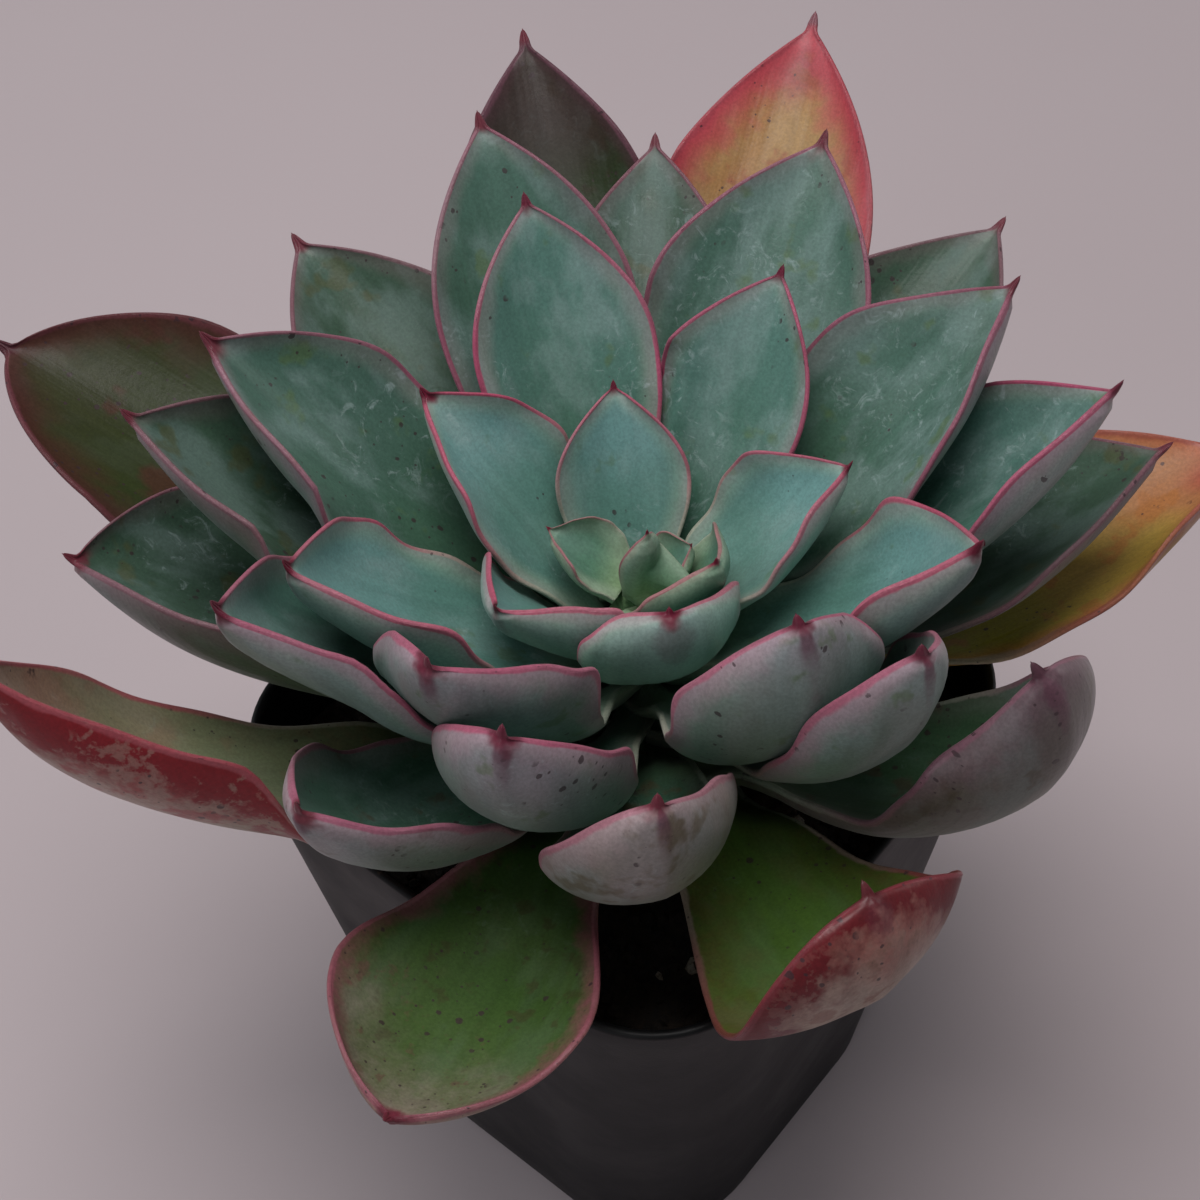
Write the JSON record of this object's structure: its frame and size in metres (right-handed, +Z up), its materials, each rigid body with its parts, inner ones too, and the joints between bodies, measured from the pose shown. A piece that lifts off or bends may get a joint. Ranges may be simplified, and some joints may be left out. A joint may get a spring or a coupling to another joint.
{
  "type": "potted riga echeveria",
  "caption": "Low succulent rosette of cupped, pink-edged fleshy leaves on a short stem, rooted in soil in a tapered square black plastic nursery pot.",
  "frame": {"origin": "middle of the pot's underside, on the surface that it stands on", "axes": "+Z up, X and Y along the sides of the square pot; the corner at +X, -Y is the front corner, towards which the most curled leaves point"},
  "size_m": [0.1253, 0.1351, 0.1203],
  "materials": {
    "pot": "matte",
    "soil": "matte",
    "stem": "matte",
    "dried_leaf": "matte",
    "heart_leaf": "satin",
    "fresh_leaf": "satin",
    "full_leaf": "satin",
    "lower_leaf": "satin",
    "old_green_leaf": "satin",
    "old_red_leaf": "satin"
  },
  "bodies": {
    "root": {"pot": "pot", "soil": "soil", "stem": "stem", "dried_stub": "dried_leaf", "heart_bud": "heart_leaf", "leaf_heart_left": "heart_leaf", "leaf_heart_right": "heart_leaf", "leaf_a_back": "fresh_leaf", "leaf_a_right": "fresh_leaf", "leaf_a_left": "fresh_leaf", "leaf_a_front_left": "fresh_leaf", "leaf_a_front": "fresh_leaf", "leaf_b_back": "fresh_leaf", "leaf_b_back_right": "fresh_leaf", "leaf_b_left": "fresh_leaf", "leaf_b_right": "fresh_leaf", "leaf_b_front_left": "fresh_leaf", "leaf_b_front_right": "fresh_leaf", "leaf_c_back_left": "full_leaf", "leaf_c_back_right": "full_leaf", "leaf_c_left": "full_leaf", "leaf_c_front": "full_leaf", "leaf_c_front_right": "full_leaf", "leaf_d_front": "full_leaf", "leaf_d_front_left": "full_leaf", "leaf_d_left": "full_leaf", "leaf_d_back_left": "full_leaf", "leaf_d_back_right": "full_leaf", "leaf_d_right": "full_leaf", "leaf_e_back": "lower_leaf", "leaf_e_back_left": "lower_leaf", "leaf_e_back_right": "lower_leaf", "leaf_e_left": "lower_leaf", "leaf_e_front_right": "lower_leaf", "leaf_old_back": "old_green_leaf", "leaf_old_left": "old_green_leaf", "leaf_old_right": "old_green_leaf", "leaf_old_front_left": "old_green_leaf", "leaf_old_front_right": "old_green_leaf", "leaf_old_back_red": "old_red_leaf", "leaf_old_right_orange": "old_red_leaf", "leaf_old_left_red": "old_red_leaf"}
  },
  "joints": []
}
